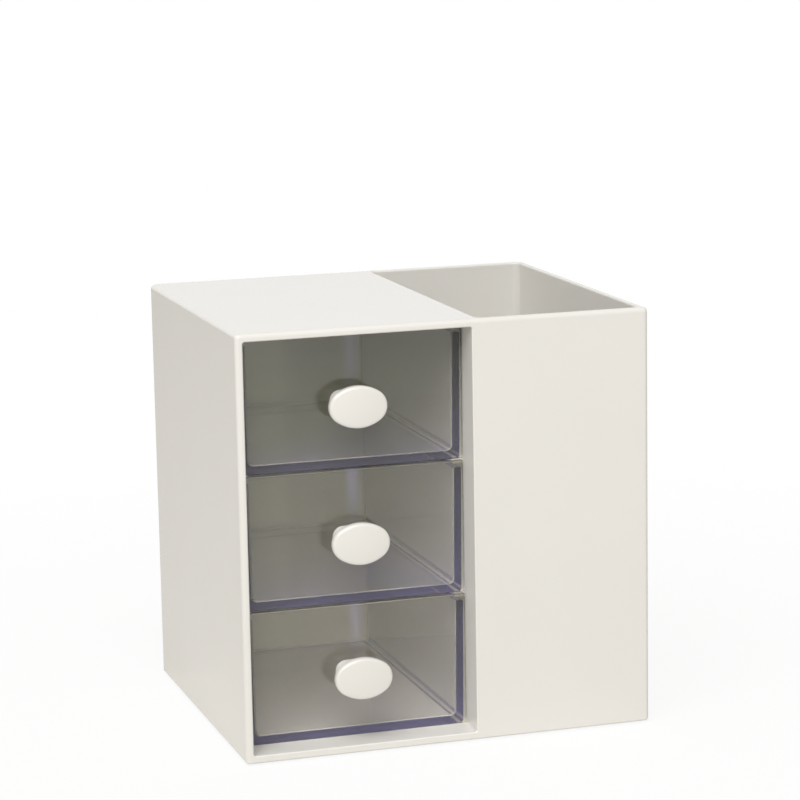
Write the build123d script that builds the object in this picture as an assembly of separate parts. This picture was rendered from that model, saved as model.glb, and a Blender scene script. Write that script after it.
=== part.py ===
"""Desk organizer with three clear drawers and a pen bin.

A glossy moulded case holds three clear drawers, one above the other, on its left, and has
a tall pen bin, open at the top, on its right. Each drawer is a drafted tray behind a front
plate, and carries an oval knob that one screw holds from inside. The drawers slide on
ledges moulded along the walls of the drawer bay, and four round pads stand under the case.

Frame, in millimetres: +X to the right, +Y to the back, +Z up. The origin is on the table,
under the middle of the case.
"""

import os

from build123d import *

os.makedirs("parts", exist_ok=True)

# ---------------------------------------------------------------- driving dimensions

# Case: the moulded body, without its pads
case_width = 109.4
case_depth = 95.6
case_height = 110.0
side_wall = 1.9  # left and right walls
front_wall = 1.9  # in front of the pen bin
back_wall = 1.9
top_wall = 2.0
floor_wall = 2.0
divider_wall = 1.9  # between the drawer bay and the pen bin
bay_width = 59.7  # clear width of the drawer bay

# Rounded edges of the case
back_corner_radius = 3.0
front_corner_radius = 1.15
top_edge_radius = 1.15
bottom_edge_chamfer = 0.4
bay_corner_radius = 0.6
bay_mouth_chamfer = 0.25
bin_inner_radius = 1.8  # in the bin's upright corners
bin_floor_chamfer = 1.2  # along the bin's floor
bin_rim_radius = 0.6
outer_share = 0.62  # most of a wall's thickness that its outer edge's rounding takes
inner_share = 0.33  # and its inner edge's

# Drawers
level_names = ["bottom", "middle", "top"]
drawer_recess = 7.7  # from the case's front to the drawer's front plate
plate_thickness = 2.0
plate_side_gap = 0.3  # between a front plate and the wall beside it
plate_top_gap = 0.55  # between a front plate and what is above it
plate_edge_radius = 0.35
tray_inset = 0.15  # how far the tray's top edge stands in from the plate's side
tray_side_wall = 1.9
tray_back_wall = 1.9
tray_floor = 1.95
tray_draft = 0.8  # degrees
tray_corner_radius = 3.0
tray_foot_chamfer = 0.5
tray_rim_chamfer = 0.3
tray_inner_radius = 1.5  # where the tray's sides meet its floor and its back
tray_plate_chamfer = 0.4  # where the tray's floor and sides meet the plate
tray_back_gap = 1.2  # between a closed drawer and the case's back wall

# Ledges that carry the drawers and stop them
ledge_width = 2.8
ledge_thickness = 1.5
ledge_edge_radius = 0.3
ledge_run_gap = 0.95  # between a tray's rim and the ledge over it
floor_rib_height = 0.35  # of the two ribs on the case's floor, under the bottom drawer

# Knobs
knob_width = 15.2
knob_height = 10.8
knob_end_radius = 3.7  # of the oval's narrow ends
knob_head_thickness = 2.9
knob_length = 7.5  # from the drawer's front plate to the knob's face
knob_back_chamfer = 0.6
knob_rim_rise = 1.0  # of the steep bevel round the knob's edge
knob_rim_lean = 27.0  # degrees
knob_crown_rise = 0.6  # of the shallow bevel round the face's middle
knob_crown_lean = 72.0  # degrees
knob_drop = 0.7  # how far the knob sits below the middle of its plate
neck_width = 11.5
neck_height = 7.2
neck_corner_radius = 2.8

# Screws that hold the knobs
screw_radius = 1.3
screw_length = 7.0  # under its head
screw_tip_length = 1.2
screw_tip_radius = 0.4
screw_head_radius = 2.6
screw_head_height = 1.5
plate_hole_gap = 0.2  # around the screw in the drawer's plate
pilot_gap = 0.05  # around the screw in the knob
pilot_end_gap = 0.4  # past the screw's tip
cross_width = 0.7
cross_length = 2.8
cross_depth = 0.8

# Pads under the case
pad_radius = 4.5
pad_thickness = 1.4
pad_seat_depth = 0.8
pad_seat_gap = 0.2  # around a pad in its seat
pad_inset = 9.0  # from the case's sides to the pad's centre

# ---------------------------------------------------------------- sizes that follow

case_base = pad_thickness - pad_seat_depth
case_top = case_base + case_height
case_left = -case_width / 2
case_right = case_width / 2
case_front = -case_depth / 2
case_back = case_depth / 2

bay_left = case_left + side_wall
bay_right = bay_left + bay_width
bay_middle = (bay_left + bay_right) / 2
bay_floor = case_base + floor_wall
bay_ceiling = case_top - top_wall
inside_back = case_back - back_wall

bin_left = bay_right + divider_wall
bin_right = case_right - side_wall
bin_front = case_front + front_wall

drawer_pitch = (bay_ceiling - bay_floor - floor_rib_height) / len(level_names)
plate_front = case_front + drawer_recess
plate_back = plate_front + plate_thickness
plate_width = bay_width - 2 * plate_side_gap
plate_height = drawer_pitch - plate_top_gap
tray_width = plate_width - 2 * tray_inset
tray_height = drawer_pitch - ledge_thickness - ledge_run_gap
tray_back = inside_back - tray_back_gap


def drawer_base(level):
    """Height of the underside of a drawer."""
    return bay_floor + floor_rib_height + level * drawer_pitch


def knob_axis(level):
    """The knob's middle line: its origin is on the plate's front, and it points forward."""
    middle = (bay_middle, plate_front, drawer_base(level) + plate_height / 2 - knob_drop)
    return Plane(origin=middle, x_dir=(1, 0, 0), z_dir=(0, -1, 0))


# ---------------------------------------------------------------- common forms

same_direction = 0.01  # largest distance between unit vectors that count as parallel


def box_between(x_range, y_range, z_range):
    """A box between two values along each axis."""
    spans = (x_range, y_range, z_range)
    size = [high - low for low, high in spans]
    middle = [(high + low) / 2 for low, high in spans]
    return Pos(*middle) * Box(*size)


def faces_towards(solid, direction):
    """The flat faces of a solid that look in one direction."""
    wanted = Vector(direction)
    return solid.faces().filter_by(lambda face: (face.normal_at() - wanted).length < same_direction)


def drafted_box(x_range, y_range, z_range, angle):
    """A box whose sides and back lean in towards its bottom. Its size is that of its top."""
    body = box_between(x_range, y_range, z_range)
    walls = [
        faces_towards(body, (-1, 0, 0))[0],
        faces_towards(body, (1, 0, 0))[0],
        faces_towards(body, (0, 1, 0))[0],
    ]
    return draft(walls, Plane.XY.offset(z_range[1]), -angle)


# ---------------------------------------------------------------- case


def outer_body():
    """The closed outside of the case, with its rounded corners and edges."""
    plan = Rectangle(case_width, case_depth)
    plan = fillet(plan.vertices().group_by(Axis.Y)[0], front_corner_radius)
    plan = fillet(plan.vertices().group_by(Axis.Y)[-1], back_corner_radius)
    body = Pos(0, 0, case_base) * extrude(plan, case_height)
    top_radius = min(top_edge_radius, side_wall * outer_share)
    body = fillet(body.edges().group_by(Axis.Z)[-1], top_radius)
    return chamfer(body.edges().group_by(Axis.Z)[0], bottom_edge_chamfer)


def bay_space():
    """The drawer bay, through the case's front."""
    space = box_between(
        (bay_left, bay_right), (case_front - front_wall, inside_back), (bay_floor, bay_ceiling)
    )
    return fillet(space.edges().filter_by(Axis.Y), bay_corner_radius)


def bin_space():
    """The inside of the pen bin, through the case's top."""
    space = box_between(
        (bin_left, bin_right), (bin_front, inside_back), (bay_floor, case_top + top_wall)
    )
    space = fillet(space.edges().filter_by(Axis.Z), bin_inner_radius)
    return chamfer(space.edges().group_by(Axis.Z)[0], bin_floor_chamfer)


def ledge(wall_x, inward, low, high):
    """One ledge along a wall of the bay, from the closed drawers' plates to the back."""
    root = wall_x - inward * side_wall / 2
    edge = wall_x + inward * ledge_width
    bar = box_between(
        sorted((root, edge)), (plate_back, inside_back + back_wall / 2), (low, high)
    )
    free_edges = bar.edges().filter_by(Axis.Y).sort_by(lambda line: inward * line.center().X)[-2:]
    return fillet(free_edges, min(ledge_edge_radius, (high - low) * inner_share))


def ledges():
    """Two ledges over each drawer's rim, and two ribs on the floor under the bottom drawer."""
    solids = []
    for wall_x, inward in ((bay_left, 1), (bay_right, -1)):
        solids.append(ledge(wall_x, inward, bay_floor - floor_wall / 2, drawer_base(0)))
        for level in range(len(level_names)):
            top = drawer_base(level + 1)
            solids.append(ledge(wall_x, inward, top - ledge_thickness, top))
    return solids


def pad_places():
    """Where the four pads' middles are, at the height of their seats' openings."""
    return {
        f"{end}_{side}": (
            x_sign * (case_width / 2 - pad_inset),
            y_sign * (case_depth / 2 - pad_inset),
            case_base,
        )
        for end, y_sign in (("front", -1), ("back", 1))
        for side, x_sign in (("left", -1), ("right", 1))
    }


def case():
    """The whole moulded case."""
    body = outer_body() - bay_space() - bin_space()
    rim_radius = min(bin_rim_radius, side_wall * inner_share)
    top_face = faces_towards(body, (0, 0, 1)).sort_by(Axis.Z)[-1]
    body = fillet(top_face.inner_wires()[0].edges(), rim_radius)
    front_face = faces_towards(body, (0, -1, 0)).sort_by(Axis.Y)[0]
    body = chamfer(front_face.inner_wires()[0].edges(), bay_mouth_chamfer)
    for bar in ledges():
        body += bar
    seat = extrude(Circle(pad_radius + pad_seat_gap), pad_seat_depth)
    for place in pad_places().values():
        body -= Pos(*place) * seat
    return body


def pad(place):
    """One round pad, stuck in its seat and standing proud of it."""
    x, y, base = place
    return Pos(x, y, base + pad_seat_depth - pad_thickness) * extrude(Circle(pad_radius), pad_thickness)


# ---------------------------------------------------------------- drawers


def back_uprights(body):
    """The two edges that rise at the back of a drafted box."""
    steep = 1 - same_direction
    rising = body.edges().filter_by(lambda line: abs((line @ 1 - line @ 0).normalized().Z) > steep)
    return rising.sort_by(Axis.Y)[-2:]


def lower_edges(body):
    """The lowest edges of a drafted box, without the one at the front."""
    return body.edges().group_by(Axis.Z)[0].sort_by(Axis.Y)[1:]


def tray_outside(base):
    """The tray's outside, from within the front plate to its rounded back corners."""
    half = tray_width / 2
    body = drafted_box(
        (bay_middle - half, bay_middle + half),
        (plate_front + plate_thickness / 2, tray_back),
        (base, base + tray_height),
        tray_draft,
    )
    body = fillet(back_uprights(body), tray_corner_radius)
    return chamfer(lower_edges(body), tray_foot_chamfer)


def tray_space(base):
    """The room inside the tray, with the same draft, rounded along its floor and back.

    A small chamfer all along the plate strengthens the corner there.
    """
    half = tray_width / 2 - tray_side_wall
    room = drafted_box(
        (bay_middle - half, bay_middle + half),
        (plate_back, tray_back - tray_back_wall),
        (base + tray_floor, base + tray_height),
        tray_draft,
    )
    room = fillet(back_uprights(room) + lower_edges(room), tray_inner_radius)
    plate_side = faces_towards(room, (0, -1, 0))[0].edges().sort_by(Axis.Z)[:-1]
    return chamfer(plate_side, tray_plate_chamfer)


def front_plate(base):
    """The plate that closes the drawer's front, with a hole for the knob's screw."""
    half = plate_width / 2
    plate = box_between(
        (bay_middle - half, bay_middle + half),
        (plate_front, plate_back),
        (base, base + plate_height),
    )
    return fillet(faces_towards(plate, (0, -1, 0))[0].edges(), plate_edge_radius)


def drawer(level):
    """One clear drawer."""
    base = drawer_base(level)
    body = front_plate(base) + tray_outside(base) - tray_space(base)
    upward = faces_towards(body, (0, 0, 1))
    rim = upward.sort_by(lambda face: abs(face.center().Z - base - tray_height))[0]
    behind_plate = plate_back + tray_side_wall
    free_edges = [line for line in rim.edges() if line.bounding_box().max.Y > behind_plate]
    body = chamfer(free_edges, min(tray_rim_chamfer, tray_side_wall * inner_share))
    hole = extrude(knob_axis(level) * Circle(screw_radius + plate_hole_gap), -plate_thickness)
    return body - hole


# ---------------------------------------------------------------- knobs and screws


def oval(width, height, end_radius):
    """An oval of four arcs that meet smoothly: two narrow ends and two flat sides."""
    half_width = width / 2
    half_height = height / 2
    end_centre = half_width - end_radius
    side_rise = end_centre**2 + half_height**2 - end_radius**2
    side_radius = side_rise / (2 * (half_height - end_radius))
    side_centre = side_radius - half_height
    reach = end_radius / (side_radius - end_radius)
    join_x = end_centre * (1 + reach)
    join_y = side_centre * reach
    side = ThreePointArc((-join_x, join_y), (0, half_height), (join_x, join_y))
    end = ThreePointArc((join_x, join_y), (half_width, 0), (join_x, -join_y))
    other_side = ThreePointArc((join_x, -join_y), (0, -half_height), (-join_x, -join_y))
    other_end = ThreePointArc((-join_x, -join_y), (-half_width, 0), (-join_x, join_y))
    return make_face([side, end, other_side, other_end])


def knob(level):
    """An oval knob: a bevelled head on a narrower neck, with a blind hole for its screw."""
    axis = knob_axis(level)
    head_back = axis.offset(knob_length - knob_head_thickness)
    bevels = ((knob_rim_rise, knob_rim_lean), (knob_crown_rise, knob_crown_lean))
    straight_part = knob_head_thickness - sum(rise for rise, lean in bevels)
    head = extrude(head_back * oval(knob_width, knob_height, knob_end_radius), straight_part)
    head = chamfer(head.edges().group_by(Axis.Y)[-1], knob_back_chamfer)
    for rise, lean in bevels:
        head += extrude(head.faces().sort_by(Axis.Y)[0], rise, taper=lean)
    neck_plan = axis * Rectangle(neck_width, neck_height)
    neck_plan = fillet(neck_plan.vertices(), neck_corner_radius)
    neck = extrude(neck_plan, knob_length - knob_head_thickness / 2)
    pilot_depth = screw_length - plate_thickness + pilot_end_gap
    return head + neck - extrude(axis * Circle(screw_radius + pilot_gap), pilot_depth)


def screw(level):
    """A pan-head screw with a cross recess, from inside the drawer into the knob."""
    head_back = -screw_head_height
    outline = Polyline(
        (0, 0, screw_length),
        (screw_tip_radius, 0, screw_length),
        (screw_radius, 0, screw_length - screw_tip_length),
        (screw_radius, 0, 0),
        (screw_head_radius, 0, 0),
        (screw_head_radius, 0, head_back),
        (0, 0, head_back),
        close=True,
    )
    body = revolve(make_face(outline), Axis.Z)
    arm = Rectangle(cross_length, cross_width)
    cross = extrude(arm + Rot(0, 0, 90) * arm, cross_depth)
    body -= Pos(0, 0, head_back) * cross
    return knob_axis(level).offset(-plate_thickness) * body


# ---------------------------------------------------------------- the set


def pieces():
    """Every piece, by the name of its node."""
    made = {"case": case()}
    for place_name, place in pad_places().items():
        made[f"pad_{place_name}"] = pad(place)
    for level, level_name in enumerate(level_names):
        made[f"drawer_{level_name}"] = drawer(level)
        made[f"knob_{level_name}"] = knob(level)
        made[f"screw_{level_name}"] = screw(level)
    return made


for node, solid in pieces().items():
    export_step(solid, f"parts/{node}.step")
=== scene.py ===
"""Finish, light and camera for a desk organizer with clear drawers and a pen bin.

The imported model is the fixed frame: its case and drawers keep their meshes and get their
materials here. The knobs get a smooth domed form, the screws a thread and the pads grip
studs, all on meshes that stand for their nodes.
"""

from math import asin, copysign, cos, hypot, pi, radians, sin, sqrt

import bmesh
import bpy
from bpy.props import FloatProperty, FloatVectorProperty, IntProperty, PointerProperty
from mathutils import Matrix, Vector


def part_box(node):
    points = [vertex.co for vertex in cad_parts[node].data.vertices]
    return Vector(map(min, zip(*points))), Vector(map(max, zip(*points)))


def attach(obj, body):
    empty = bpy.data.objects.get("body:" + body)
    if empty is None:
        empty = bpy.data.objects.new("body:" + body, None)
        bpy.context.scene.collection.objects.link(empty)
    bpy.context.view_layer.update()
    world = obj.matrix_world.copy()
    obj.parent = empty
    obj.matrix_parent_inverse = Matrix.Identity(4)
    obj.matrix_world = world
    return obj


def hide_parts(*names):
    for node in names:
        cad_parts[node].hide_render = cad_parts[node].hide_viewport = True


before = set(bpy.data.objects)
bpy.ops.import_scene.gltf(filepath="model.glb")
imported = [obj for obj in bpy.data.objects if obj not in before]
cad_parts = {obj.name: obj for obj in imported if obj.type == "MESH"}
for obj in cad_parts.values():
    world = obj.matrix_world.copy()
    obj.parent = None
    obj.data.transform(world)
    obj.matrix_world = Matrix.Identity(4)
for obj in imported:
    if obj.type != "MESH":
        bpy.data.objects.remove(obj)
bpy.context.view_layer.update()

bl_info = {
    "name": "Desk organizer with clear drawers",
    "version": (1, 0, 0),
    "blender": (4, 5, 0),
    "location": "View3D > Sidebar > Organizer",
    "description": "Finishes the pieces of a desk organizer and sets its stage",
    "category": "Object",
}

MM = 0.001
LEVELS = ("bottom", "middle", "top")
PAD_PLACES = ("front_left", "front_right", "back_left", "back_right")
WHITE = (1, 1, 1, 1)
MERGE_DISTANCE = 0.0005 * MM  # corners of a mesh that lie nearer than this become one

KNOB_SIDES = 112
KNOB_BACK_STEPS = 4  # in the rounding of the head's back edge
KNOB_EDGE_STEPS = 10  # in the rounding between the head's side and its face
KNOB_DOME_SHARES = (0.93, 0.85, 0.75, 0.64, 0.52, 0.4, 0.28, 0.16, 0.06)  # rings on the face
KNOB_SHARP_ANGLE = radians(40)  # an edge that turns more than this isn't shaded smooth
THREAD_STEPS = 24  # in each turn of a screw's thread
PAD_SIDES = 64
STUD_SIDES = 10
STUD_FOOT = 1.4  # how much wider a stud is at its foot than at its tip


# ---------------------------------------------------------------- settings


def linear(hex_colour):
    """The linear red, green and blue of an sRGB hex colour."""
    parts = [int(hex_colour[i:i + 2], 16) / 255 for i in (1, 3, 5)]
    return [p / 12.92 if p <= 0.04045 else ((p + 0.055) / 1.055) ** 2.4 for p in parts]


def opaque(hex_colour):
    """The linear colour with full alpha, as a node's colour socket takes it."""
    return (*linear(hex_colour), 1)


def length_setting(name, description, millimetres):
    """A setting for a length. Its default is given in millimetres."""
    return FloatProperty(
        name=name, description=description, default=millimetres * MM,
        subtype="DISTANCE", unit="LENGTH",
    )


def place_setting(name, description, millimetres):
    """A setting for a point. Its default is given in millimetres."""
    return FloatVectorProperty(
        name=name, description=description, default=[part * MM for part in millimetres],
        subtype="XYZ", unit="LENGTH",
    )


def angle_setting(name, description, degrees):
    """A setting for an angle. Its default is given in degrees."""
    return FloatProperty(
        name=name, description=description, default=radians(degrees),
        subtype="ANGLE", unit="ROTATION",
    )


def colour_setting(name, description, hex_colour):
    """A setting for a colour. Its default is given as an sRGB hex value."""
    return FloatVectorProperty(
        name=name, description=description, default=linear(hex_colour),
        subtype="COLOR", min=0, max=1,
    )


def share_setting(name, description, share):
    """A setting from zero to one."""
    return FloatProperty(name=name, description=description, default=share, min=0, max=1)


class CaseSettings(bpy.types.PropertyGroup):
    """Finish of the white mouldings."""

    colour: colour_setting("Colour", "Warm white of the moulded case and knobs", "#E9E7E2")
    shade: colour_setting("Shade", "Slightly deeper white that the moulding drifts to", "#E5E3DD")
    drift_length: length_setting("Drift length", "Length of the drift between the whites", 35)
    gloss: share_setting("Roughness", "Mean roughness of the polished mould's face", 0.17)
    gloss_drift: share_setting("Roughness drift", "How far it strays from that mean", 0.2)
    ripple: length_setting(
        "Ripple height", "Height of the long, flat waves where the walls cooled", 0.012
    )
    ripple_length: length_setting("Ripple length", "Length of those waves", 22)
    peel: length_setting("Orange peel height", "Height of the skin's finest waves", 0.0012)
    peel_length: length_setting("Orange peel length", "Length of those finest waves", 1.4)


class DrawerSettings(bpy.types.PropertyGroup):
    """Finish of the clear mouldings."""

    tint: colour_setting("Tint", "Colour that long ways through the plastic take on", "#4B38F6")
    density: FloatProperty(
        name="Tint density", description="How much of the light a metre of the plastic takes",
        default=15.0, min=0,
    )
    cast: colour_setting(
        "Cast", "Faint warm cast of what is seen straight through a wall", "#FDFDED"
    )
    roughness: share_setting("Roughness", "Roughness of the polished faces", 0.02)
    hairline_length: length_setting("Hairline length", "Length of the polish's hairlines", 2.5)
    flow: length_setting("Flow height", "Height of the waves that the flow left", 0.008)
    flow_length: length_setting("Flow length", "Length of those waves", 14)
    haze: share_setting("Haze", "Share of the light that each face scatters", 0.11)
    haze_colour: colour_setting(
        "Haze colour", "Colour of the light that the tray's walls scatter", "#BFB8FF"
    )
    haze_run: length_setting("Haze run", "Depth over which that haze sets in", 1)
    plate_haze: colour_setting(
        "Plate haze", "Colour of the light that the clearer front plate scatters", "#A2A28B"
    )
    plate_thickness: length_setting("Plate thickness", "Thickness of that plate", 2)
    # Paler, bluer colour that the front plate scatters in a soft upright band over each screw's
    # hole
    band_haze: colour_setting(
        "Band haze", "Colour of the light that the weld over the screw's hole scatters", "#CECDED"
    )
    # Width of that paler, bluer band over each screw's hole
    band_width: length_setting("Band width", "Width of that weld's faint, soft band", 5)
    lamp_share: colour_setting(
        "Lamp share", "Share of a lamp's light that each face lets through", "#FAF8F4"
    )


class KnobSettings(bpy.types.PropertyGroup):
    """Form of the knobs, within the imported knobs' width, height and length."""

    end_radius: length_setting("End radius", "Radius of the oval's narrow ends", 4.4)
    dome_radius: length_setting("Dome radius", "Radius of the slightly domed face", 40)
    head_thickness: length_setting("Head thickness", "Thickness of the oval head", 2.9)
    edge_radius: length_setting(
        "Edge radius", "Rounding between the head's side and its face", 0.8
    )
    back_radius: length_setting("Back radius", "Rounding of the head's back edge", 0.6)
    neck_width: length_setting(
        "Neck width", "Width of the neck between the head and the plate", 11.5
    )
    neck_height: length_setting("Neck height", "Height of that neck", 7.2)
    neck_radius: length_setting("Neck corner radius", "Radius of the neck's four corners", 2.8)
    hole_radius: length_setting("Hole radius", "Radius of the blind hole for the screw", 1.35)
    hole_depth: length_setting("Hole depth", "Depth of that hole", 5.4)


class ScrewSettings(bpy.types.PropertyGroup):
    """Thread of the knobs' screws."""

    shank_radius: length_setting(
        "Shank radius", "Radius of the shank that carries the thread", 1.3
    )
    head_height: length_setting("Head height", "Height of the screw's head", 1.5)
    tip_length: length_setting("Tip length", "Length at the tip that has no thread", 1.4)
    pitch: length_setting("Pitch", "Distance from one turn of the thread to the next", 1)
    thread_height: length_setting(
        "Thread height", "How far the thread stands out of the shank", 0.12
    )


class PadSettings(bpy.types.PropertyGroup):
    """Form of the pads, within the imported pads' width and height."""

    edge_radius: length_setting("Edge radius", "Rounding of the lower edge", 0.25)
    rows: IntProperty(name="Stud rows", description="Rows of studs, each way", default=9, min=2)
    spacing: length_setting("Stud spacing", "Distance between the studs", 1.1)
    stud_radius: length_setting("Stud radius", "Radius of a stud at its tip", 0.32)
    stud_height: length_setting("Stud height", "Height of a stud", 0.15)


class StageSettings(bpy.types.PropertyGroup):
    """Camera, light and floor."""

    azimuth: angle_setting(
        "Azimuth", "How far the camera stands to the left of straight in front", 17.32
    )
    elevation: angle_setting("Elevation", "How far the camera looks down", 10.50)
    roll: angle_setting("Roll", "How far the camera leans about its own axis", -1.06)
    distance: length_setting(
        "Distance", "From the camera to the point that it looks at", 743.3
    )
    aim: place_setting("Aim", "The point that the camera looks at", (-12.47, -47.8, 91.29))
    lens: FloatProperty(
        name="Lens", description="Focal length in millimetres on a sensor 36 mm wide",
        default=133.2, min=1,
    )
    sky: FloatProperty(
        name="Sky", description="Strength of the soft light from all round", default=0.34, min=0,
    )
    sky_colour: colour_setting("Sky colour", "Colour of that light", "#FFFAF4")
    lamp_place: place_setting("Lamp place", "Where the soft lamp hangs", (-560, -970, 1420))
    lamp_aim: place_setting("Lamp aim", "The point that the lamp faces", (0, 0, 60))
    lamp_width: length_setting("Lamp width", "Side of the square lamp", 1500)
    lamp_power: FloatProperty(
        name="Lamp power", description="Power of the lamp", default=28.5, min=0, unit="POWER",
    )
    floor_colour: colour_setting("Floor colour", "White of the floor", "#F2F1EE")
    floor_width: length_setting("Floor width", "Side of the square floor", 6000)
    near_glow: share_setting(
        "Near glow", "Share of plain white in the look of the floor under the object", 0.90
    )
    fade_start: length_setting(
        "Fade start", "Distance from the middle at which the shadow starts to fade", 80
    )
    fade_end: length_setting(
        "Fade end", "Distance from the middle at which the floor is plain white", 320
    )


# ---------------------------------------------------------------- helpers


def add_node(tree, kind, settings=None, links=None):
    """Adds a node. Settings give its inputs or properties, and links its inputs' sources.

    An input goes by its name, or by its place where several inputs share a name.
    """
    node = tree.nodes.new(kind)
    for key, value in (settings or {}).items():
        if isinstance(key, int) or key in node.inputs:
            node.inputs[key].default_value = value
        else:
            setattr(node, key, value)
    for key, source in (links or {}).items():
        tree.links.new(source, node.inputs[key])
    return node


def new_material(name):
    """An empty node material, its tree, its output node and the place in the object."""
    material = bpy.data.materials.new(name)
    material.use_nodes = True
    tree = material.node_tree
    tree.nodes.clear()
    output = add_node(tree, "ShaderNodeOutputMaterial")
    place = add_node(tree, "ShaderNodeTexCoord").outputs["Object"]
    return material, tree, output, place


def any_ray(tree, kinds):
    """One where a ray is of one of the kinds named, and zero elsewhere."""
    path = add_node(tree, "ShaderNodeLightPath")
    found = path.outputs[kinds[0]]
    for kind in kinds[1:]:
        either = add_node(
            tree, "ShaderNodeMath", {"operation": "MAXIMUM"}, {0: found, 1: path.outputs[kind]}
        )
        found = either.outputs["Value"]
    return found


def new_piece(name, mesh):
    """An object of its own for a mesh, in the scene."""
    piece = bpy.data.objects.new(name, mesh)
    bpy.context.scene.collection.objects.link(piece)
    return piece


def mesh_of_rings(name, rings):
    """A mesh through rings of as many points each, with a flat cap at both ends."""
    sides = len(rings[0])
    last = (len(rings) - 1) * sides
    faces = []
    for start in range(0, last, sides):
        for side in range(sides):
            here, after = start + side, start + (side + 1) % sides
            faces.append((here, after, after + sides, here + sides))
    faces += [tuple(reversed(range(sides))), tuple(range(last, last + sides))]
    mesh = bpy.data.meshes.new(name)
    mesh.from_pydata([point for ring in rings for point in ring], [], faces)
    return mesh


def dress(obj, material):
    """Gives the whole of an object one material."""
    obj.data.materials.clear()
    obj.data.materials.append(material)


def make_plain(obj):
    """Turns what an object's modifiers make of it into its own mesh, and removes them."""
    evaluated = obj.evaluated_get(bpy.context.evaluated_depsgraph_get())
    mesh = bpy.data.meshes.new_from_object(evaluated)
    mesh.name = obj.name
    obj.modifiers.clear()
    obj.data = mesh


def apply_tree(piece, tree, values):
    """Runs a Geometry Nodes tree on a piece, with its inputs given by their names."""
    modifier = piece.modifiers.new(tree.name, "NODES")
    modifier.node_group = tree
    identifiers = {
        socket.name: socket.identifier
        for socket in tree.interface.items_tree
        if socket.item_type == "SOCKET" and socket.in_out == "INPUT"
    }
    for name, value in values.items():
        modifier[identifiers[name]] = value
    make_plain(piece)


def geometry_tree(name, lengths, counts=()):
    """A Geometry Nodes tree with named inputs, and its group input node."""
    tree = bpy.data.node_groups.new(name, "GeometryNodeTree")
    tree.interface.new_socket("Geometry", in_out="INPUT", socket_type="NodeSocketGeometry")
    for label in lengths:
        tree.interface.new_socket(label, in_out="INPUT", socket_type="NodeSocketFloat")
    for label in counts:
        tree.interface.new_socket(label, in_out="INPUT", socket_type="NodeSocketInt")
    tree.interface.new_socket("Material", in_out="INPUT", socket_type="NodeSocketMaterial")
    tree.interface.new_socket("Geometry", in_out="OUTPUT", socket_type="NodeSocketGeometry")
    return tree, tree.nodes.new("NodeGroupInput")


def end_tree(tree, given, added):
    """Joins new geometry to the given piece, realizes it, sets its material and sends it out."""
    joined = add_node(tree, "GeometryNodeJoinGeometry", links={0: given.outputs["Geometry"]})
    tree.links.new(added, joined.inputs[0])
    real = add_node(
        tree, "GeometryNodeRealizeInstances", links={"Geometry": joined.outputs["Geometry"]}
    )
    painted = add_node(
        tree, "GeometryNodeSetMaterial",
        links={"Geometry": real.outputs["Geometry"], "Material": given.outputs["Material"]},
    )
    add_node(tree, "NodeGroupOutput", links={"Geometry": painted.outputs["Geometry"]})


# ---------------------------------------------------------------- materials


def moulded_abs(name, settings):
    """Gloss white ABS from a polished mould.

    Its wide, soft highlights show that the walls sank a little as they cooled, and its
    roughness drifts with the finest orange peel, so that no face shines quite evenly.
    """
    material, tree, output, place = new_material(name)
    drift = add_node(
        tree, "ShaderNodeTexNoise",
        {"Scale": 1 / settings.drift_length, "Detail": 2.0, "Roughness": 0.5}, {"Vector": place},
    )
    colour = add_node(
        tree, "ShaderNodeMix",
        {"data_type": "RGBA", 6: (*settings.colour, 1), 7: (*settings.shade, 1)},
        {0: drift.outputs["Fac"]},
    )
    peel = add_node(
        tree, "ShaderNodeTexNoise",
        {"Scale": 1 / settings.peel_length, "Detail": 3.0, "Roughness": 0.6}, {"Vector": place},
    )
    roughness = add_node(
        tree, "ShaderNodeMapRange",
        {
            "To Min": settings.gloss * (1 - settings.gloss_drift),
            "To Max": settings.gloss * (1 + settings.gloss_drift),
        },
        {"Value": peel.outputs["Fac"]},
    )
    waves = add_node(
        tree, "ShaderNodeTexNoise",
        {"Scale": 1 / settings.ripple_length, "Detail": 1.0}, {"Vector": place},
    )
    sunk = add_node(
        tree, "ShaderNodeBump", {"Strength": 1.0, "Distance": settings.ripple},
        {"Height": waves.outputs["Fac"]},
    )
    skin = add_node(
        tree, "ShaderNodeBump", {"Strength": 1.0, "Distance": settings.peel},
        {"Height": peel.outputs["Fac"], "Normal": sunk.outputs["Normal"]},
    )
    shader = add_node(
        tree, "ShaderNodeBsdfPrincipled", {"IOR": 1.54},
        {
            "Base Color": colour.outputs[2],
            "Roughness": roughness.outputs["Result"],
            "Normal": skin.outputs["Normal"],
        },
    )
    tree.links.new(shader.outputs["BSDF"], output.inputs["Surface"])
    return material


# Where the front plate scatters a paler, bluer colour, in a band over each screw's hole
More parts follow.
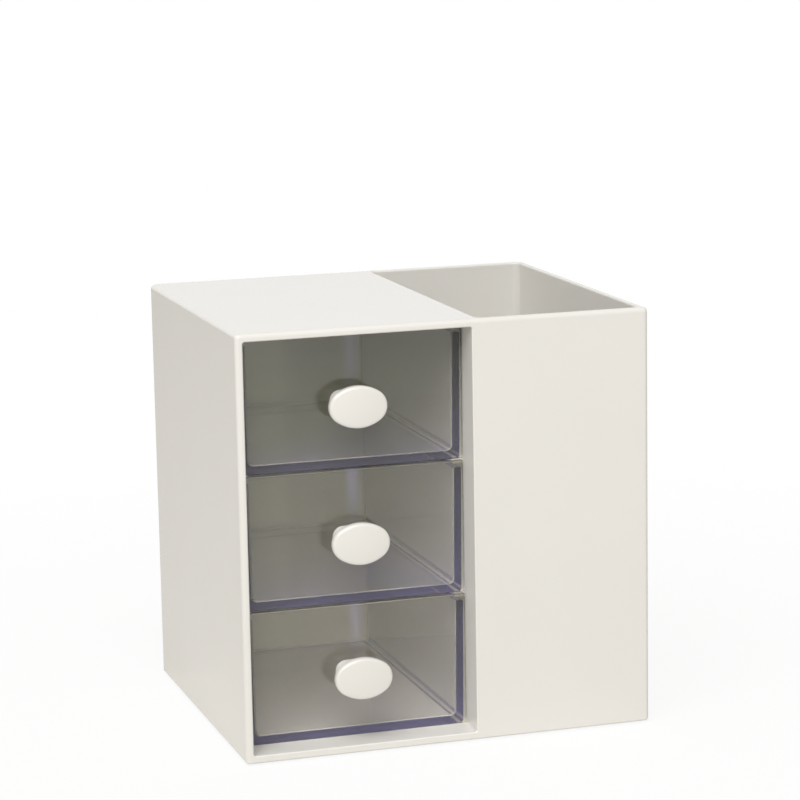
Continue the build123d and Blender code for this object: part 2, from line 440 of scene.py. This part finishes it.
def band_over_screw_hole(tree, place, settings):
    """One in the soft upright band over each screw's hole, and zero elsewhere."""
    low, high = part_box("drawer_bottom")
    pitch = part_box("drawer_middle")[0].z - low.z
    knob_low, knob_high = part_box("knob_bottom")
    where = add_node(tree, "ShaderNodeSeparateXYZ", links={"Vector": place})
    aside = add_node(
        tree, "ShaderNodeMath", {"operation": "SUBTRACT", 1: (knob_low.x + knob_high.x) / 2},
        {0: where.outputs["X"]},
    )
    distance = add_node(
        tree, "ShaderNodeMath", {"operation": "ABSOLUTE"}, {0: aside.outputs["Value"]}
    )
    near = add_node(
        tree, "ShaderNodeMapRange",
        {
            "interpolation_type": "SMOOTHSTEP",
            "From Min": 0, "From Max": settings.band_width / 2, "To Min": 1, "To Max": 0,
        },
        {"Value": distance.outputs["Value"]},
    )
    above_first = add_node(
        tree, "ShaderNodeMath", {"operation": "SUBTRACT", 1: low.z}, {0: where.outputs["Z"]}
    )
    risen = add_node(
        tree, "ShaderNodeMath", {"operation": "FLOORED_MODULO", 1: pitch},
        {0: above_first.outputs["Value"]},
    )
    over = add_node(
        tree, "ShaderNodeMapRange",
        {
            "interpolation_type": "SMOOTHSTEP",
            "From Min": (knob_low.z + knob_high.z) / 2 - low.z, "From Max": high.z - low.z,
        },
        {"Value": risen.outputs["Value"]},
    )
    both = add_node(
        tree, "ShaderNodeMath", {"operation": "MULTIPLY"},
        {0: near.outputs["Result"], 1: over.outputs["Result"]},
    )
    return both.outputs["Value"]


def scattered_colour(tree, place, settings):
    """The colour that a drawer scatters: its tray's, its front plate's, or the paler band's over
    the screw's hole.
    """
    plate = add_node(
        tree, "ShaderNodeMix",
        {"data_type": "RGBA", 6: (*settings.plate_haze, 1), 7: (*settings.band_haze, 1)},
        {0: band_over_screw_hole(tree, place, settings)},
    )
    plate_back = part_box("drawer_bottom")[0].y + settings.plate_thickness
    where = add_node(tree, "ShaderNodeSeparateXYZ", links={"Vector": place})
    in_tray = add_node(
        tree, "ShaderNodeMapRange",
        {
            "interpolation_type": "SMOOTHSTEP",
            "From Min": plate_back, "From Max": plate_back + settings.haze_run,
        },
        {"Value": where.outputs["Y"]},
    )
    scattered = add_node(
        tree, "ShaderNodeMix", {"data_type": "RGBA", 7: (*settings.haze_colour, 1)},
        {0: in_tray.outputs["Result"], 6: plate.outputs[2]},
    )
    return scattered.outputs[2]


def clear_polystyrene(name, settings):
    """Clear polystyrene with a little blue toner, from a polished mould.

    It is as clear as glass through a wall, but a floor or side seen along its length has
    gathered the toner's violet. The tray's walls scatter a little of it, the front plate
    hardly any but for a paler, bluer band over its screw's hole, and fine hairlines dull the
    polish.
    A lamp's light goes through it with hardly a shadow, and so lights what is inside.
    """
    material, tree, output, place = new_material(name)
    hairs = add_node(
        tree, "ShaderNodeTexNoise",
        {"Scale": 1 / settings.hairline_length, "Detail": 4.0, "Distortion": 0.6},
        {"Vector": place},
    )
    clean, scratched = 0.35, 0.75  # values of the noise at which the polish is best and worst
    roughness = add_node(
        tree, "ShaderNodeMapRange",
        {
            "From Min": clean, "From Max": scratched,
            "To Min": settings.roughness / 2, "To Max": settings.roughness * 2,
        },
        {"Value": hairs.outputs["Fac"]},
    )
    waves = add_node(
        tree, "ShaderNodeTexNoise",
        {"Scale": 1 / settings.flow_length, "Detail": 1.0}, {"Vector": place},
    )
    flow = add_node(
        tree, "ShaderNodeBump", {"Strength": 1.0, "Distance": settings.flow},
        {"Height": waves.outputs["Fac"]},
    )
    clear = add_node(
        tree, "ShaderNodeBsdfPrincipled",
        {"Base Color": (*settings.cast, 1), "IOR": 1.59, "Transmission Weight": 1.0},
        {"Roughness": roughness.outputs["Result"], "Normal": flow.outputs["Normal"]},
    )
    milky = add_node(
        tree, "ShaderNodeBsdfDiffuse",
        links={"Color": scattered_colour(tree, place, settings)},
    )
    hazy = add_node(
        tree, "ShaderNodeMixShader", {0: settings.haze},
        {1: clear.outputs["BSDF"], 2: milky.outputs["BSDF"]},
    )
    open_air = add_node(
        tree, "ShaderNodeBsdfTransparent", {"Color": (*settings.lamp_share, 1)}
    )
    lit_through = add_node(
        tree, "ShaderNodeMixShader",
        links={
            0: any_ray(tree, ("Is Shadow Ray",)),
            1: hazy.outputs["Shader"],
            2: open_air.outputs["BSDF"],
        },
    )
    bulk = add_node(
        tree, "ShaderNodeVolumeAbsorption",
        {"Color": (*settings.tint, 1), "Density": settings.density},
    )
    tree.links.new(lit_through.outputs["Shader"], output.inputs["Surface"])
    tree.links.new(bulk.outputs["Volume"], output.inputs["Volume"])
    return material


def plated_steel(name):
    """Zinc-plated steel: a soft grey shine with the plating's faint cloud."""
    material, tree, output, place = new_material(name)
    cloud_length = 0.6 * MM
    cloud = add_node(
        tree, "ShaderNodeTexNoise", {"Scale": 1 / cloud_length, "Detail": 3.0},
        {"Vector": place},
    )
    roughness = add_node(
        tree, "ShaderNodeMapRange", {"To Min": 0.22, "To Max": 0.42},
        {"Value": cloud.outputs["Fac"]},
    )
    shader = add_node(
        tree, "ShaderNodeBsdfPrincipled",
        {"Base Color": opaque("#C9CBCF"), "Metallic": 1.0},
        {"Roughness": roughness.outputs["Result"]},
    )
    tree.links.new(shader.outputs["BSDF"], output.inputs["Surface"])
    return material


def foam_rubber(name):
    """Pale anti-slip rubber: matt, with the fine cells of its skin."""
    material, tree, output, place = new_material(name)
    cell_width, cell_depth = 0.18 * MM, 0.02 * MM
    cells = add_node(
        tree, "ShaderNodeTexVoronoi", {"Scale": 1 / cell_width}, {"Vector": place}
    )
    skin = add_node(
        tree, "ShaderNodeBump", {"Strength": 0.6, "Distance": cell_depth},
        {"Height": cells.outputs["Distance"]},
    )
    tone = add_node(
        tree, "ShaderNodeMix",
        {"data_type": "RGBA", 6: opaque("#BFBFBF"), 7: opaque("#CBCBCB")},
        {0: cells.outputs["Distance"]},
    )
    shader = add_node(
        tree, "ShaderNodeBsdfPrincipled", {"Roughness": 0.8, "IOR": 1.5},
        {"Base Color": tone.outputs[2], "Normal": skin.outputs["Normal"]},
    )
    tree.links.new(shader.outputs["BSDF"], output.inputs["Surface"])
    return material


# ---------------------------------------------------------------- case and drawers


class ORGANIZER_OT_case(bpy.types.Operator):
    """Finishes the case in gloss white ABS"""

    bl_idname = "organizer.case"
    bl_label = "Finish the case"

    def execute(self, context):
        material = moulded_abs("gloss_white_abs_case", context.scene.organizer_case)
        dress(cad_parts["case"], material)
        return {"FINISHED"}


class ORGANIZER_OT_drawers(bpy.types.Operator):
    """Finishes the three drawers in clear polystyrene"""

    bl_idname = "organizer.drawers"
    bl_label = "Finish the drawers"

    def execute(self, context):
        material = clear_polystyrene("clear_polystyrene", context.scene.organizer_drawer)
        for level in LEVELS:
            dress(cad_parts[f"drawer_{level}"], material)
        return {"FINISHED"}


# ---------------------------------------------------------------- knobs


def oval_point(turn, width, height, end_radius):
    """The point of an oval of four arcs that faces a direction, and that direction."""
    half_width, half_height = width / 2, height / 2
    end_centre = half_width - end_radius
    side_rise = end_centre ** 2 + half_height ** 2 - end_radius ** 2
    side_radius = side_rise / (2 * (half_height - end_radius))
    side_centre = side_radius - half_height
    right, up = cos(turn), sin(turn)
    if side_centre * abs(right) > end_centre * abs(up):
        centre, radius = (copysign(end_centre, right), 0), end_radius
    else:
        centre, radius = (0, -copysign(side_centre, up)), side_radius
    return (centre[0] + radius * right, centre[1] + radius * up), (right, up)


def round_rectangle_point(turn, width, height, corner_radius):
    """The point of a rectangle with round corners that faces a direction."""
    corner = (width / 2 - corner_radius, height / 2 - corner_radius)
    facing = (cos(turn), sin(turn))
    return tuple(copysign(c, part) + corner_radius * part for c, part in zip(corner, facing))


def knob_rings(settings, width, length, height):
    """Rings of (right, up, forward) points, from the blind end of the screw's hole to the dome.

    The points lie half a step off the upright and level lines, so that each has its corner.
    """
    turns = [2 * pi * (step + 0.5) / KNOB_SIDES for step in range(KNOB_SIDES)]
    rim = [oval_point(turn, width, height, settings.end_radius) for turn in turns]
    head_back = length - settings.head_thickness
    edge, back_edge = settings.edge_radius, settings.back_radius

    def inset(distance, forward):
        return [(p[0] - distance * n[0], p[1] - distance * n[1], forward) for p, n in rim]

    def circle(radius, forward):
        return [(radius * cos(turn), radius * sin(turn), forward) for turn in turns]

    def dome(right, up):
        below_centre = sqrt(settings.dome_radius ** 2 - right ** 2 - up ** 2)
        return length - settings.dome_radius + below_centre

    neck = [
        round_rectangle_point(turn, settings.neck_width, settings.neck_height, settings.neck_radius)
        for turn in turns
    ]
    rings = [circle(settings.hole_radius, settings.hole_depth), circle(settings.hole_radius, 0)]
    rings += [[(*point, 0) for point in neck], [(*point, head_back) for point in neck]]
    for step in range(KNOB_BACK_STEPS + 1):
        turn = pi / 2 * step / KNOB_BACK_STEPS
        rings.append(inset(back_edge * (1 - sin(turn)), head_back + back_edge * (1 - cos(turn))))
    for step in range(KNOB_EDGE_STEPS + 1):
        ring = []
        for point, normal in rim:
            ball = [point[i] - edge * normal[i] for i in (0, 1)]
            slope = hypot(*ball) / settings.dome_radius
            centre = dome(*ball) - edge * sqrt(1 + slope ** 2)
            turn = (pi / 2 - asin(slope)) * step / KNOB_EDGE_STEPS
            right, up = [ball[i] + edge * cos(turn) * normal[i] for i in (0, 1)]
            ring.append((right, up, centre + edge * sin(turn)))
        rings.append(ring)
    last = rings[-1]
    for share in KNOB_DOME_SHARES:
        rings.append([(share * x, share * up, dome(share * x, share * up)) for x, up, _ in last])
    return rings


class ORGANIZER_OT_knobs(bpy.types.Operator):
    """Makes the three domed knobs in gloss white ABS"""

    bl_idname = "organizer.knobs"
    bl_label = "Make the knobs"

    def execute(self, context):
        settings = context.scene.organizer_knob
        material = moulded_abs("gloss_white_abs_knob", context.scene.organizer_case)
        for level in LEVELS:
            node = f"knob_{level}"
            low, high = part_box(node)
            middle = (low + high) / 2
            rings = [
                [(middle.x + right, high.y - forward, middle.z + up) for right, up, forward in ring]
                for ring in knob_rings(settings, *(high - low))
            ]
            piece = new_piece(f"domed_{node}", mesh_of_rings(f"domed_{node}", rings))
            piece.data.shade_smooth()
            piece.data.set_sharp_from_angle(angle=KNOB_SHARP_ANGLE)
            dress(piece, material)
            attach(piece, f"drawer_{level}")
            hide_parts(node)
        return {"FINISHED"}


# ---------------------------------------------------------------- screws


def copy_of_node(node, name):
    """A merged copy of a CAD node's mesh, as a new piece."""
    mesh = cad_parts[node].data.copy()
    mesh.name = name
    work = bmesh.new()
    work.from_mesh(mesh)
    bmesh.ops.remove_doubles(work, verts=work.verts, dist=MERGE_DISTANCE)
    work.to_mesh(mesh)
    work.free()
    return new_piece(name, mesh)


def thread_tree():
    """A thread: a three-sided ridge wound round the shank, joined to the screw."""
    tree, given = geometry_tree(
        "screw_thread",
        ("Shank Radius", "Thread Height", "Pitch", "Length", "Seat X", "Seat Y", "Seat Z"),
    )
    turns = add_node(
        tree, "ShaderNodeMath", {"operation": "DIVIDE"},
        {0: given.outputs["Length"], 1: given.outputs["Pitch"]},
    )
    helix = add_node(
        tree, "GeometryNodeCurveSpiral", {"Resolution": THREAD_STEPS},
        {
            "Rotations": turns.outputs["Value"],
            "Start Radius": given.outputs["Shank Radius"],
            "End Radius": given.outputs["Shank Radius"],
            "Height": given.outputs["Length"],
        },
    )
    ridge = add_node(
        tree, "GeometryNodeCurvePrimitiveCircle", {"Resolution": 3},
        {"Radius": given.outputs["Thread Height"]},
    )
    wound = add_node(
        tree, "GeometryNodeCurveToMesh", {"Fill Caps": True},
        {"Curve": helix.outputs["Curve"], "Profile Curve": ridge.outputs["Curve"]},
    )
    seat = add_node(
        tree, "ShaderNodeCombineXYZ", links={axis: given.outputs[f"Seat {axis}"] for axis in "XYZ"}
    )
    placed = add_node(
        tree, "GeometryNodeTransform", {"Rotation": (pi / 2, 0, 0)},
        {"Geometry": wound.outputs["Mesh"], "Translation": seat.outputs["Vector"]},
    )
    end_tree(tree, given, placed.outputs["Geometry"])
    return tree


class ORGANIZER_OT_screws(bpy.types.Operator):
    """Makes the three screws with their threads"""

    bl_idname = "organizer.screws"
    bl_label = "Make the screws"

    def execute(self, context):
        settings = context.scene.organizer_screw
        material = plated_steel("zinc_plated_steel")
        tree = thread_tree()
        for level in LEVELS:
            node = f"screw_{level}"
            low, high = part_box(node)
            seat_y = high.y - settings.head_height
            piece = copy_of_node(node, f"threaded_{node}")
            apply_tree(piece, tree, {
                "Shank Radius": settings.shank_radius,
                "Thread Height": settings.thread_height,
                "Pitch": settings.pitch,
                "Length": seat_y - low.y - settings.tip_length,
                "Seat X": (low.x + high.x) / 2,
                "Seat Y": seat_y,
                "Seat Z": (low.z + high.z) / 2,
                "Material": material,
            })
            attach(piece, f"drawer_{level}")
            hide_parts(node)
        return {"FINISHED"}


# ---------------------------------------------------------------- pads


def turned_rings(outline, centre):
    """Rings of points round an upright axis, one for each (radius, height) of an outline."""
    turns = [2 * pi * step / PAD_SIDES for step in range(PAD_SIDES)]
    return [
        [
            (centre.x + radius * cos(turn), centre.y + radius * sin(turn), centre.z + height)
            for turn in turns
        ]
        for radius, height in outline
    ]


def stud_tree():
    """Studs in rows over a round pad's underside, joined to the pad."""
    tree, given = geometry_tree(
        "pad_studs",
        ("Field Radius", "Spacing", "Stud Radius", "Stud Height", "Centre X", "Centre Y"),
        ("Rows",),
    )
    gaps = add_node(
        tree, "ShaderNodeMath", {"operation": "SUBTRACT", 1: 1}, {0: given.outputs["Rows"]}
    )
    span = add_node(
        tree, "ShaderNodeMath", {"operation": "MULTIPLY"},
        {0: given.outputs["Spacing"], 1: gaps.outputs["Value"]},
    )
    field = add_node(
        tree, "GeometryNodeMeshGrid",
        links={
            "Size X": span.outputs["Value"], "Size Y": span.outputs["Value"],
            "Vertices X": given.outputs["Rows"], "Vertices Y": given.outputs["Rows"],
        },
    )
    spot = add_node(tree, "GeometryNodeInputPosition")
    reach = add_node(
        tree, "ShaderNodeVectorMath", {"operation": "LENGTH"}, {"Vector": spot.outputs["Position"]}
    )
    outside = add_node(
        tree, "FunctionNodeCompare", {"data_type": "FLOAT", "operation": "GREATER_THAN"},
        {0: reach.outputs["Value"], 1: given.outputs["Field Radius"]},
    )
    kept = add_node(
        tree, "GeometryNodeDeleteGeometry", {"domain": "POINT"},
        {"Geometry": field.outputs["Mesh"], "Selection": outside.outputs["Result"]},
    )
    foot = add_node(
        tree, "ShaderNodeMath", {"operation": "MULTIPLY", 1: STUD_FOOT},
        {0: given.outputs["Stud Radius"]},
    )
    stud = add_node(
        tree, "GeometryNodeMeshCone", {"Vertices": STUD_SIDES, "Side Segments": 1},
        {
            "Radius Top": given.outputs["Stud Radius"],
            "Radius Bottom": foot.outputs["Value"],
            "Depth": given.outputs["Stud Height"],
        },
    )
    hanging = add_node(
        tree, "GeometryNodeTransform", {"Rotation": (pi, 0, 0)}, {"Geometry": stud.outputs["Mesh"]}
    )
    studs = add_node(
        tree, "GeometryNodeInstanceOnPoints",
        links={"Points": kept.outputs["Geometry"], "Instance": hanging.outputs["Geometry"]},
    )
    centre = add_node(
        tree, "ShaderNodeCombineXYZ",
        links={
            "X": given.outputs["Centre X"], "Y": given.outputs["Centre Y"],
            "Z": given.outputs["Stud Height"],
        },
    )
    placed = add_node(
        tree, "GeometryNodeTransform",
        links={"Geometry": studs.outputs["Instances"], "Translation": centre.outputs["Vector"]},
    )
    end_tree(tree, given, placed.outputs["Geometry"])
    return tree


class ORGANIZER_OT_pads(bpy.types.Operator):
    """Makes the four pads with their grip studs"""

    bl_idname = "organizer.pads"
    bl_label = "Make the pads"

    def execute(self, context):
        settings = context.scene.organizer_pad
        material = foam_rubber("anti_slip_rubber")
        tree = stud_tree()
        edge = settings.edge_radius
        base = settings.stud_height
        corner = 0.3 * edge  # about how far a quarter circle stays off its corner
        for place in PAD_PLACES:
            node = f"pad_{place}"
            low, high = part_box(node)
            centre = Vector(((low.x + high.x) / 2, (low.y + high.y) / 2, low.z))
            radius = (high.x - low.x) / 2
            outline = [
                (radius - edge, base),
                (radius - corner, base + corner),
                (radius, base + edge),
                (radius, high.z - low.z),
            ]
            rings = turned_rings(outline, centre)
            piece = new_piece(f"studded_{node}", mesh_of_rings(f"studded_{node}", rings))
            apply_tree(piece, tree, {
                "Field Radius": radius - 2 * edge - settings.stud_radius,
                "Spacing": settings.spacing,
                "Stud Radius": settings.stud_radius,
                "Stud Height": settings.stud_height,
                "Centre X": centre.x,
                "Centre Y": centre.y,
                "Rows": settings.rows,
                "Material": material,
            })
            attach(piece, "case")
            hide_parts(node)
        return {"FINISHED"}


# ---------------------------------------------------------------- stage


def white_floor(name, settings):
    """Matt white board that the camera sees as nearly plain white, with a faint shadow left."""
    material, tree, output, place = new_material(name)
    matt = add_node(tree, "ShaderNodeBsdfDiffuse", {"Color": (*settings.floor_colour, 1)})
    glow = add_node(tree, "ShaderNodeEmission", {"Color": WHITE, "Strength": 1.0})
    away = add_node(tree, "ShaderNodeVectorMath", {"operation": "LENGTH"}, {"Vector": place})
    fade = add_node(
        tree, "ShaderNodeMapRange",
        {
            "From Min": settings.fade_start, "From Max": settings.fade_end,
            "To Min": settings.near_glow, "To Max": 1.0,
        },
        {"Value": away.outputs["Value"]},
    )
    share = add_node(
        tree, "ShaderNodeMath", {"operation": "MULTIPLY"},
        {0: any_ray(tree, ("Is Camera Ray", "Is Transmission Ray")), 1: fade.outputs["Result"]},
    )
    mixed = add_node(
        tree, "ShaderNodeMixShader",
        links={0: share.outputs["Value"], 1: matt.outputs["BSDF"], 2: glow.outputs["Emission"]},
    )
    tree.links.new(mixed.outputs["Shader"], output.inputs["Surface"])
    return material


def make_floor(settings):
    """The square floor that the organizer stands on."""
    half = settings.floor_width / 2
    corners = [(-half, -half, 0), (half, -half, 0), (half, half, 0), (-half, half, 0)]
    mesh = bpy.data.meshes.new("floor")
    mesh.from_pydata(corners, [], [(0, 1, 2, 3)])
    floor = new_piece("floor", mesh)
    dress(floor, white_floor("white_floor", settings))


def make_sky(scene, settings):
    """Soft light from all round, which the camera, gloss and clear plastic see as plain white."""
    scene.world = bpy.data.worlds.new("studio")
    scene.world.use_nodes = True
    tree = scene.world.node_tree
    tree.nodes.clear()
    soft = add_node(
        tree, "ShaderNodeBackground",
        {"Color": (*settings.sky_colour, 1), "Strength": settings.sky},
    )
    white = add_node(tree, "ShaderNodeBackground", {"Color": WHITE, "Strength": 1.0})
    mixed = add_node(
        tree, "ShaderNodeMixShader",
        links={
            0: any_ray(tree, ("Is Camera Ray", "Is Glossy Ray", "Is Transmission Ray")),
            1: soft.outputs["Background"],
            2: white.outputs["Background"],
        },
    )
    add_node(tree, "ShaderNodeOutputWorld", links={"Surface": mixed.outputs["Shader"]})


def make_lamp(scene, settings):
    """One large soft lamp, high in front on the left."""
    lamp = bpy.data.lights.new("key_softbox", "AREA")
    lamp.shape = "SQUARE"
    lamp.size = settings.lamp_width
    lamp.energy = settings.lamp_power
    obj = bpy.data.objects.new("key_softbox", lamp)
    obj.location = settings.lamp_place
    facing = Vector(settings.lamp_aim) - Vector(settings.lamp_place)
    obj.rotation_euler = facing.to_track_quat("-Z", "Y").to_euler()
    scene.collection.objects.link(obj)


def make_camera(scene, settings):
    """The camera, on a line through its aim."""
    ahead = cos(settings.elevation)
    look = Vector(
        (sin(settings.azimuth) * ahead, cos(settings.azimuth) * ahead, -sin(settings.elevation))
    )
    right = Vector((cos(settings.azimuth), -sin(settings.azimuth), 0))
    up = right.cross(look)
    leaned_right = cos(settings.roll) * right + sin(settings.roll) * up
    leaned_up = cos(settings.roll) * up - sin(settings.roll) * right
    turn = Matrix((leaned_right, leaned_up, -look)).transposed()
    camera = bpy.data.cameras.new("camera")
    camera.sensor_width = 36
    camera.lens = settings.lens
    camera.clip_start = 10 * MM
    obj = bpy.data.objects.new("camera", camera)
    place = Vector(settings.aim) - look * settings.distance
    obj.matrix_world = Matrix.Translation(place) @ turn.to_4x4()
    scene.collection.objects.link(obj)
    scene.camera = obj


class ORGANIZER_OT_stage(bpy.types.Operator):
    """Sets the floor, the soft light and the camera"""

    bl_idname = "organizer.stage"
    bl_label = "Set the stage"

    def execute(self, context):
        scene, settings = context.scene, context.scene.organizer_stage
        scene.view_settings.view_transform = "Standard"
        make_floor(settings)
        make_sky(scene, settings)
        make_lamp(scene, settings)
        make_camera(scene, settings)
        return {"FINISHED"}


# ---------------------------------------------------------------- add-on


class ORGANIZER_PT_panel(bpy.types.Panel):
    """Lists the operators and their settings"""

    bl_idname = "ORGANIZER_PT_panel"
    bl_label = "Organizer"
    bl_space_type = "VIEW_3D"
    bl_region_type = "UI"
    bl_category = "Organizer"

    def draw(self, context):
        for operator, group_name, _ in STEPS:
            column = self.layout.column()
            column.operator(operator.bl_idname)
            settings = getattr(context.scene, group_name)
            for name in settings.bl_rna.properties.keys():
                if name not in ("rna_type", "name"):
                    column.prop(settings, name)


# Each step's operator, and the name and class of its group of settings
STEPS = (
    (ORGANIZER_OT_case, "organizer_case", CaseSettings),
    (ORGANIZER_OT_drawers, "organizer_drawer", DrawerSettings),
    (ORGANIZER_OT_knobs, "organizer_knob", KnobSettings),
    (ORGANIZER_OT_screws, "organizer_screw", ScrewSettings),
    (ORGANIZER_OT_pads, "organizer_pad", PadSettings),
    (ORGANIZER_OT_stage, "organizer_stage", StageSettings),
)


def register():
    """Adds the settings, the operators and the panel."""
    for operator, group_name, group in STEPS:
        bpy.utils.register_class(group)
        setattr(bpy.types.Scene, group_name, PointerProperty(type=group))
        bpy.utils.register_class(operator)
    bpy.utils.register_class(ORGANIZER_PT_panel)


def unregister():
    """Removes them again."""
    bpy.utils.unregister_class(ORGANIZER_PT_panel)
    for operator, group_name, group in reversed(STEPS):
        bpy.utils.unregister_class(operator)
        delattr(bpy.types.Scene, group_name)
        bpy.utils.unregister_class(group)


def main():
    """Makes every piece and the stage."""
    register()
    for operator, _, _ in STEPS:
        family, name = operator.bl_idname.split(".")
        getattr(getattr(bpy.ops, family), name)()


if __name__ == "__main__":
    main()
